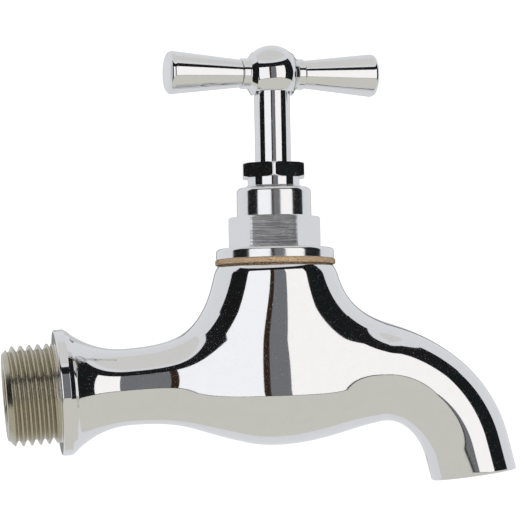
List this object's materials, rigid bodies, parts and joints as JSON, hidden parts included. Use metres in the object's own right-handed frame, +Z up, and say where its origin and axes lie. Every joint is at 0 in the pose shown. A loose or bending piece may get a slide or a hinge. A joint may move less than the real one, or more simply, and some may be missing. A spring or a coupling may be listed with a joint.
{
  "type": "hose bib",
  "caption": "Bib tap with a threaded wall inlet, a round wall flange, a down-turned spout and a rising spindle worked by a T-handle.",
  "frame": {"origin": "centre of the wall flange's back face, on the inlet axis", "axes": "+X along the inlet axis from the wall towards the spout, +Z up towards the handle, +Y completes a right-handed frame"},
  "size_m": [0.107, 0.03, 0.095],
  "materials": {
    "chromed_body": "mirror chrome plate on brass",
    "fibre": "compressed fibre",
    "packing": "greased packing",
    "brass": "turned brass",
    "rubber": "matt"
  },
  "bodies": {
    "root": {"body": "chromed_body", "head_gasket": "fibre", "bonnet": "chromed_body", "packing_lower": "packing", "packing_upper": "packing", "gland_follower": "brass", "gland_nut": "chromed_body"},
    "valve": {"jumper": "brass", "seat_washer": "rubber", "washer_nut": "brass"},
    "spindle": {"spindle": "chromed_body", "handle_hub": "chromed_body", "cross_bar": "brass", "grip_left": "chromed_body", "grip_right": "chromed_body"}
  },
  "joints": [
    {"name": "valve_lift", "type": "slide", "parent": "root", "child": "valve", "axis": [0.0663, 0, 0.9978], "range_m": [0, 0.005]},
    {"name": "handle_turn", "type": "hinge", "parent": "valve", "child": "spindle", "pos_m": [0.0465, 0, 0], "axis": [0.0663, 0, 0.9978], "range_deg": [0, 900]}
  ],
  "couplings": [
    {"joint": "valve_lift", "follows": "handle_turn", "m_per_rad": 0.00031831}
  ]
}
